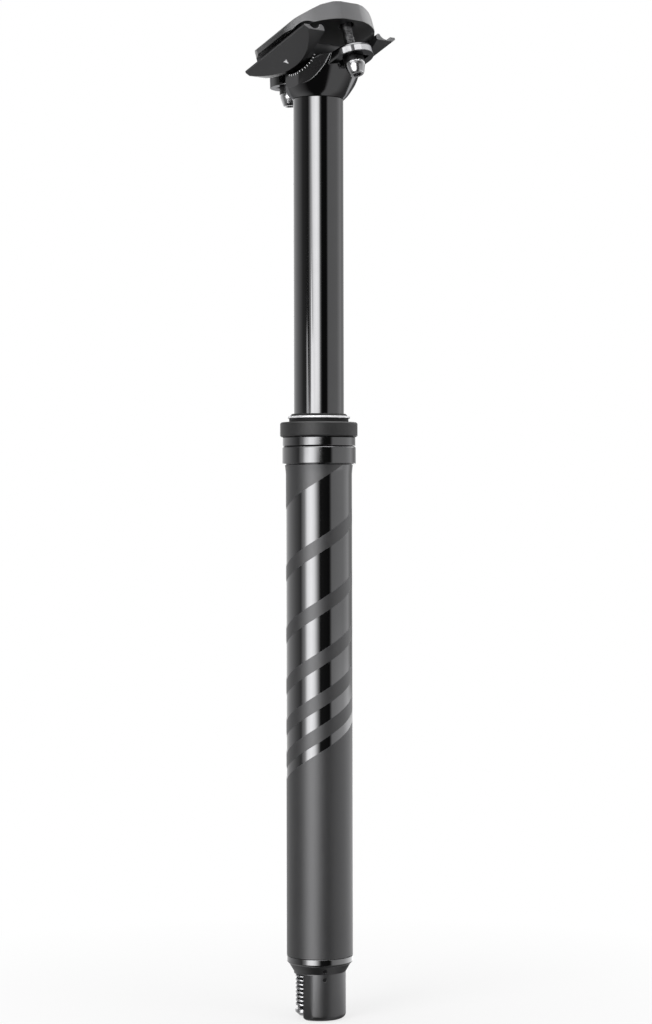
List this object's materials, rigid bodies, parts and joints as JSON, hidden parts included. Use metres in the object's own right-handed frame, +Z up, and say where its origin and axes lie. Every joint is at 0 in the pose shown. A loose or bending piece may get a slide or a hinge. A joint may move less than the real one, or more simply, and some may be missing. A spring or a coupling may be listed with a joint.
{
  "type": "dropper seatpost",
  "caption": "Telescopic bicycle seatpost: a stanchion slides in a lower tube on a gas cartridge, with a tilting two-bolt saddle clamp and a cable-pulled release at its foot.",
  "frame": {"origin": "on the post's axis, at the top of the straight tube that goes into the frame, where the taper under the shoulder begins", "axes": "+Z up along the post towards the saddle, +X towards the bicycle's front, +Y to its left"},
  "size_m": [0.0664, 0.056, 0.4813],
  "materials": {
    "tube_satin": "satin black anodised, with a gloss band",
    "black_gloss": "gloss black anodised",
    "collar_matt": "matt black anodised",
    "seal_rubber": "matt",
    "bright_alloy": "bright",
    "slide_polymer": "matt",
    "housing_grey": "satin dark grey anodised",
    "screw_black": "black oxide",
    "steel": "plain",
    "lever_alloy": "bead blasted",
    "brass": "plain",
    "spring_steel": "bright drawn wire",
    "cartridge_alloy": "plain",
    "stanchion_gloss": "gloss black hard anodised",
    "head_gloss": "gloss black anodised",
    "clamp_satin": "satin dark grey anodised",
    "bolt_steel": "bright zinc"
  },
  "bodies": {
    "lower": {"outer_tube": "tube_satin", "lock_ring": "black_gloss", "collar_nut": "collar_matt", "wiper_seal": "seal_rubber", "wiper_ring": "bright_alloy", "upper_bushing": "slide_polymer", "end_cap": "black_gloss", "actuator_housing": "housing_grey", "housing_screws": "screw_black", "lever_pin": "steel", "return_spring": "spring_steel", "cartridge_body": "cartridge_alloy", "cartridge_tube": "cartridge_alloy", "rod_gland": "brass"},
    "lever": {"actuator_lever": "lever_alloy", "cable_barrel": "brass"},
    "plunger": {"release_plunger": "lever_alloy"},
    "floating": {"floating_piston": "brass"},
    "post": {"stanchion": "stanchion_gloss", "lower_bushing": "slide_polymer", "guide_keys": "brass", "top_out_bumper": "seal_rubber", "post_head": "head_gloss", "piston_rod": "steel", "piston": "brass", "rod_bolt": "steel", "front_bolt": "bolt_steel", "front_washer": "screw_black"},
    "clamp": {"lower_cradle": "clamp_satin", "upper_clamp": "clamp_satin"},
    "rear_bolt_set": {"rear_bolt": "bolt_steel", "rear_washer": "screw_black"},
    "rear_nut_set": {"rear_nut": "steel"},
    "front_nut_set": {"front_nut": "steel"}
  },
  "joints": [
    {"name": "post_slide", "type": "slide", "parent": "lower", "child": "post", "axis": [0, 0, 1], "range_m": [-0.15, 0], "stiffness_N_per_m": 300, "springref_m": 0.7},
    {"name": "floating_slide", "type": "slide", "parent": "lower", "child": "floating", "axis": [0, 0, 1], "range_m": [0, 0.05]},
    {"name": "saddle_tilt", "type": "hinge", "parent": "post", "child": "clamp", "pos_m": [0, 0, 0.2036], "axis": [0, 1, 0], "range_deg": [-12, 4]},
    {"name": "rear_bolt_swing", "type": "hinge", "parent": "post", "child": "rear_bolt_set", "pos_m": [-0.02776, 0, 0.18999], "axis": [0, 1, 0], "range_deg": [-2.2, 0.8]},
    {"name": "rear_nut_turn", "type": "hinge", "parent": "clamp", "child": "rear_nut_set", "pos_m": [-0.01884, 0, 0.21611], "axis": [0, 1, 0], "range_deg": [-3.5, 10.2]},
    {"name": "front_nut_turn", "type": "hinge", "parent": "clamp", "child": "front_nut_set", "pos_m": [0.02194, 0, 0.20126], "axis": [0, 1, 0], "range_deg": [-4.2, 12.2]},
    {"name": "lever_pull", "type": "hinge", "parent": "lower", "child": "lever", "pos_m": [-0.0016, -0.00277, -0.2497], "axis": [0.866, -0.5, 0], "range_deg": [0, 18]},
    {"name": "plunger_lift", "type": "slide", "parent": "lower", "child": "plunger", "axis": [0, 0, 1], "range_m": [0, 0.001], "stiffness_N_per_m": 200, "springref_m": -0.01, "deforming": ["return_spring"]}
  ],
  "couplings": [
    {"joint": "floating_slide", "follows": "post_slide", "ratio": -0.3261},
    {"joint": "rear_bolt_swing", "follows": "saddle_tilt", "ratio": 0.171},
    {"joint": "rear_nut_turn", "follows": "saddle_tilt", "ratio": -0.829},
    {"joint": "front_nut_turn", "follows": "saddle_tilt", "ratio": -1},
    {"joint": "lever_pull", "follows": "plunger_lift", "rad_per_m": 312.5}
  ]
}
